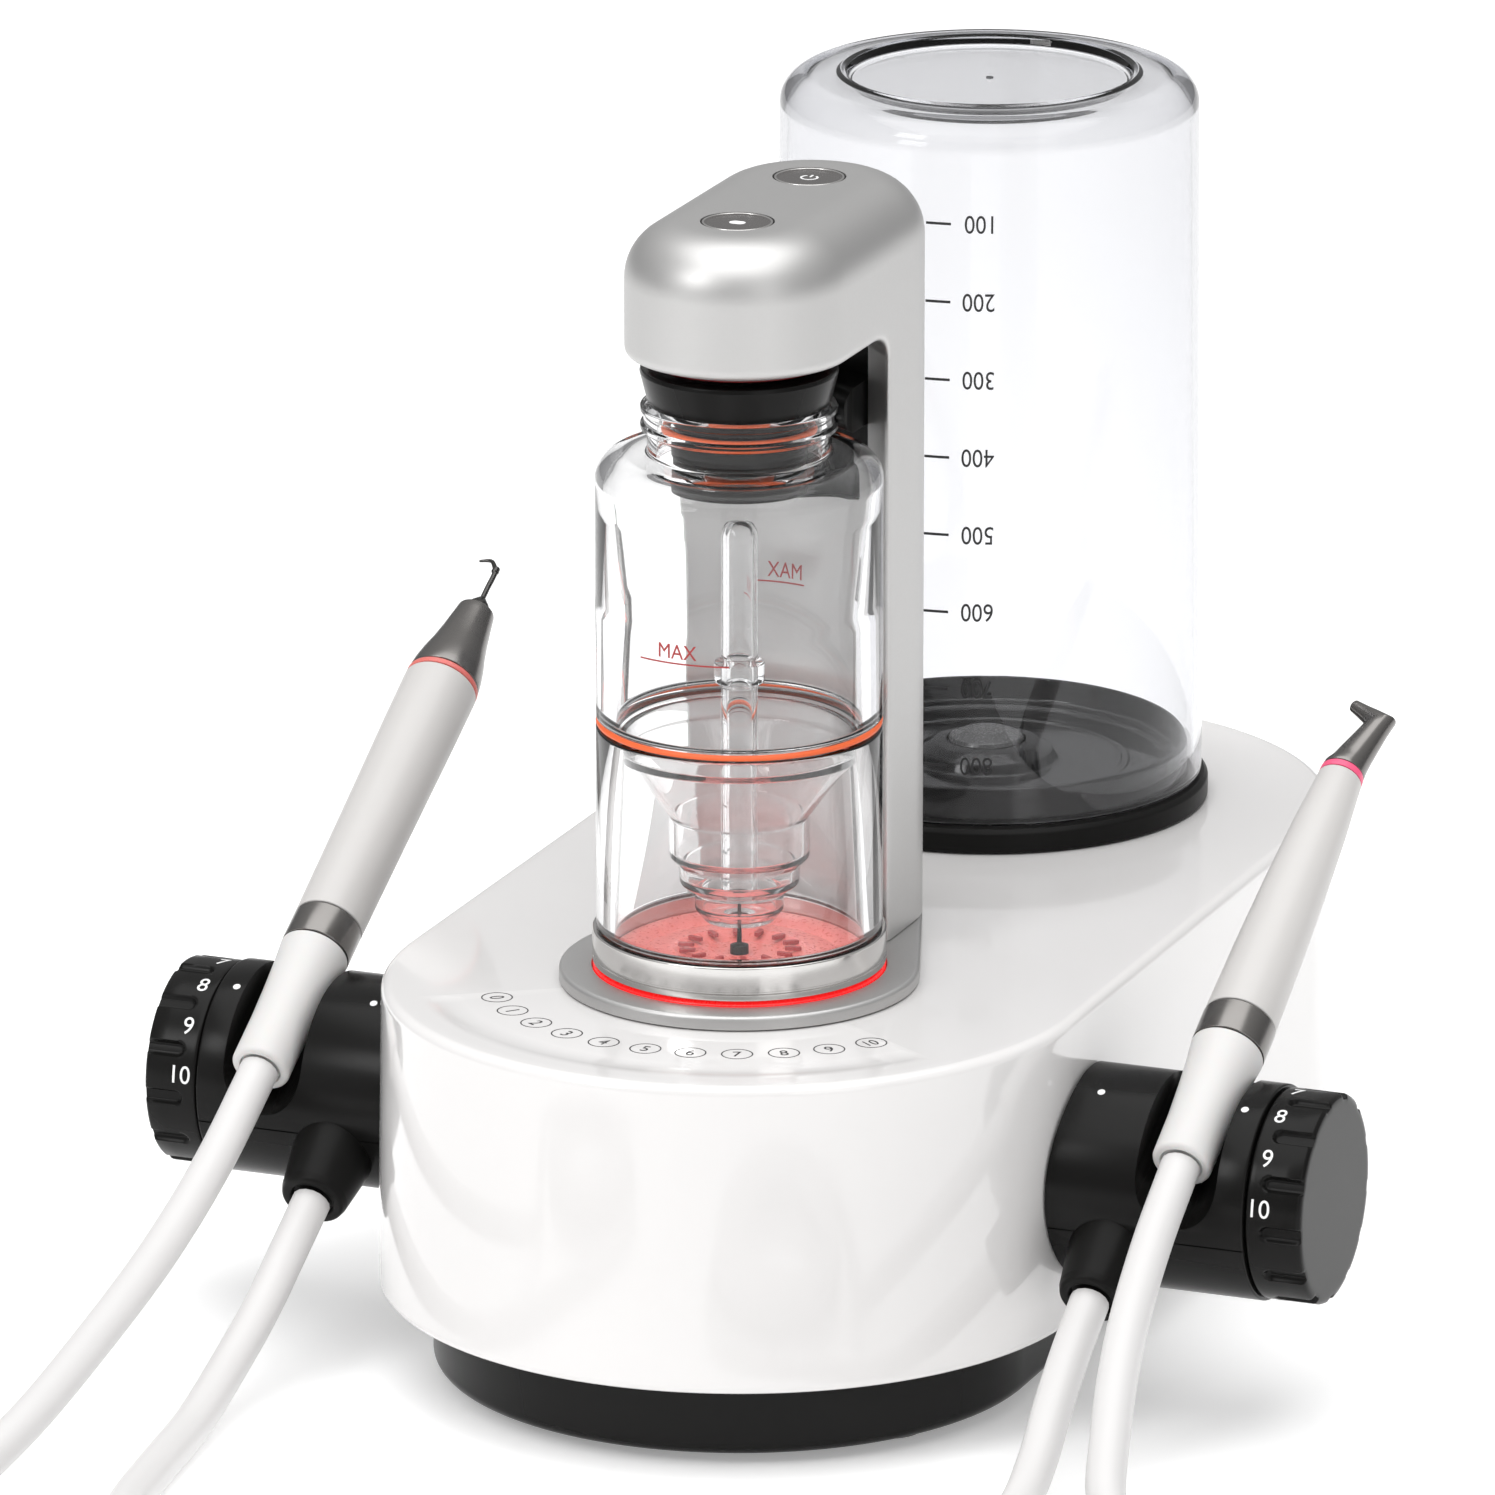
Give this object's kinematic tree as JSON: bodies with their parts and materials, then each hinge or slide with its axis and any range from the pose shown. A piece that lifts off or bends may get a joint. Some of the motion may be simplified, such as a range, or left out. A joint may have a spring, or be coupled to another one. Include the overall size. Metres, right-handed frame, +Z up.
{
  "type": "ultrasonic scaler",
  "caption": "Table-top dental scaler and air polisher with two corded handpieces in side holders, a powder chamber under an arm and an inverted water bottle.",
  "frame": {"origin": "on the table under the middle of the body, midway between the powder and water axes", "axes": "+Z up, +Y from the powder chamber towards the water bottle (the back), +X to the right seen from the front"},
  "size_m": [0.3351, 0.5336, 0.246],
  "materials": {
    "shell_white": "high-gloss injection-moulded white",
    "black_plastic": "satin moulded black",
    "black_rubber": "matte black elastomer",
    "silver_arm": "satin silver lacquer on cast aluminium",
    "steel": "fine turned stainless steel",
    "gunmetal": "dark satin steel",
    "clear_plastic": "clear polished plastic",
    "red_plastic": "red moulded, slightly translucent",
    "orange_seal": "orange silicone seal",
    "red_light": "red light ring",
    "white_silicone": "matte white silicone",
    "white_sleeve": "satin white autoclavable plastic",
    "button_grey": "smoked dark grey",
    "pink_ring": "pink ring",
    "valve_grey": "grey moulded",
    "circuit_board": "green solder mask",
    "cord_white": "smooth white silicone hose"
  },
  "bodies": {
    "base": {"base_pan": "black_plastic", "foot_front_left": "black_rubber", "foot_front_right": "black_rubber", "foot_rear_left": "black_rubber", "foot_rear_right": "black_rubber", "body_shell": "shell_white", "chassis_plate": "steel", "rear_panel": "black_plastic", "power_inlet": "black_plastic", "air_inlet": "steel", "power_supply": "steel", "main_board": "circuit_board", "valve_block": "steel", "water_pump": "black_plastic", "arm_plate": "silver_arm", "arm_shell": "silver_arm", "arm_recess_panel": "black_plastic", "head_light_ring": "red_light", "chamber_light_ring": "red_light", "chamber_port": "steel", "bottle_seat": "black_rubber", "holder_left": "black_plastic", "gland_left": "black_rubber", "gland_cord_left": "cord_white", "cord_coil_left": "cord_white", "handpiece_cord_left": "cord_white", "holder_right": "black_plastic", "gland_right": "black_rubber", "gland_cord_right": "cord_white", "cord_coil_right": "cord_white", "handpiece_cord_right": "cord_white"},
    "mode_button": {"mode_button": "button_grey"},
    "power_button": {"power_button": "button_grey"},
    "powder_chamber": {"chamber_base_ring": "steel", "chamber_floor": "red_plastic", "lower_chamber": "clear_plastic", "powder_funnel": "clear_plastic", "riser_tube": "clear_plastic", "chamber_seal": "orange_seal", "upper_chamber": "clear_plastic"},
    "powder_cap": {"powder_cap": "black_plastic", "cap_plug": "black_rubber", "neck_seal": "orange_seal"},
    "water_bottle": {"water_bottle": "clear_plastic"},
    "bottle_cap": {"bottle_cap": "black_plastic", "bottle_valve": "valve_grey"},
    "knob_left": {"knob_left": "black_plastic"},
    "knob_right": {"knob_right": "black_plastic"},
    "scaler": {"scaler_boot": "white_silicone", "scaler_ring": "gunmetal", "scaler_sleeve": "white_sleeve", "scaler_accent": "red_plastic", "scaler_nose": "gunmetal", "scaler_tip": "steel", "scaler_transducer": "steel"},
    "polisher": {"polisher_boot": "white_silicone", "polisher_ring": "gunmetal", "polisher_sleeve": "white_sleeve", "polisher_accent": "pink_ring", "polisher_nozzle": "gunmetal"}
  },
  "joints": [
    {"name": "mode_button_press", "type": "slide", "parent": "base", "child": "mode_button", "axis": [0, 0, -1], "range_m": [0, 0.0008], "stiffness_N_per_m": 300, "springref_m": -0.001},
    {"name": "power_button_press", "type": "slide", "parent": "base", "child": "power_button", "axis": [0, 0, -1], "range_m": [0, 0.0008], "stiffness_N_per_m": 300, "springref_m": -0.001},
    {"name": "chamber_slide", "type": "slide", "parent": "base", "child": "powder_chamber", "axis": [0, -1, 0], "range_m": [0, 0.1]},
    {"name": "powder_cap_turn", "type": "hinge", "parent": "powder_chamber", "child": "powder_cap", "pos_m": [0, -0.072, 0.2], "axis": [0, 0, 1], "range_deg": [0, 90]},
    {"name": "bottle_lift", "type": "slide", "parent": "base", "child": "water_bottle", "axis": [0, 0, 1], "range_m": [0, 0.12]},
    {"name": "bottle_cap_turn", "type": "hinge", "parent": "water_bottle", "child": "bottle_cap", "pos_m": [0, 0.072, 0.094], "axis": [0, 0, 1], "range_deg": [0, 90]},
    {"name": "knob_left_turn", "type": "hinge", "parent": "base", "child": "knob_left", "pos_m": [-0.12, -0.0655, 0.05], "axis": [1, 0, 0], "range_deg": [-55, 221]},
    {"name": "knob_right_turn", "type": "hinge", "parent": "base", "child": "knob_right", "pos_m": [0.12, -0.0655, 0.05], "axis": [1, 0, 0], "range_deg": [-55, 221]},
    {"name": "scaler_lift", "type": "slide", "parent": "base", "child": "scaler", "axis": [0, -0.5, 0.866], "range_m": [0, 0.035]},
    {"name": "polisher_lift", "type": "slide", "parent": "base", "child": "polisher", "axis": [0, -0.5, 0.866], "range_m": [0, 0.035]}
  ]
}
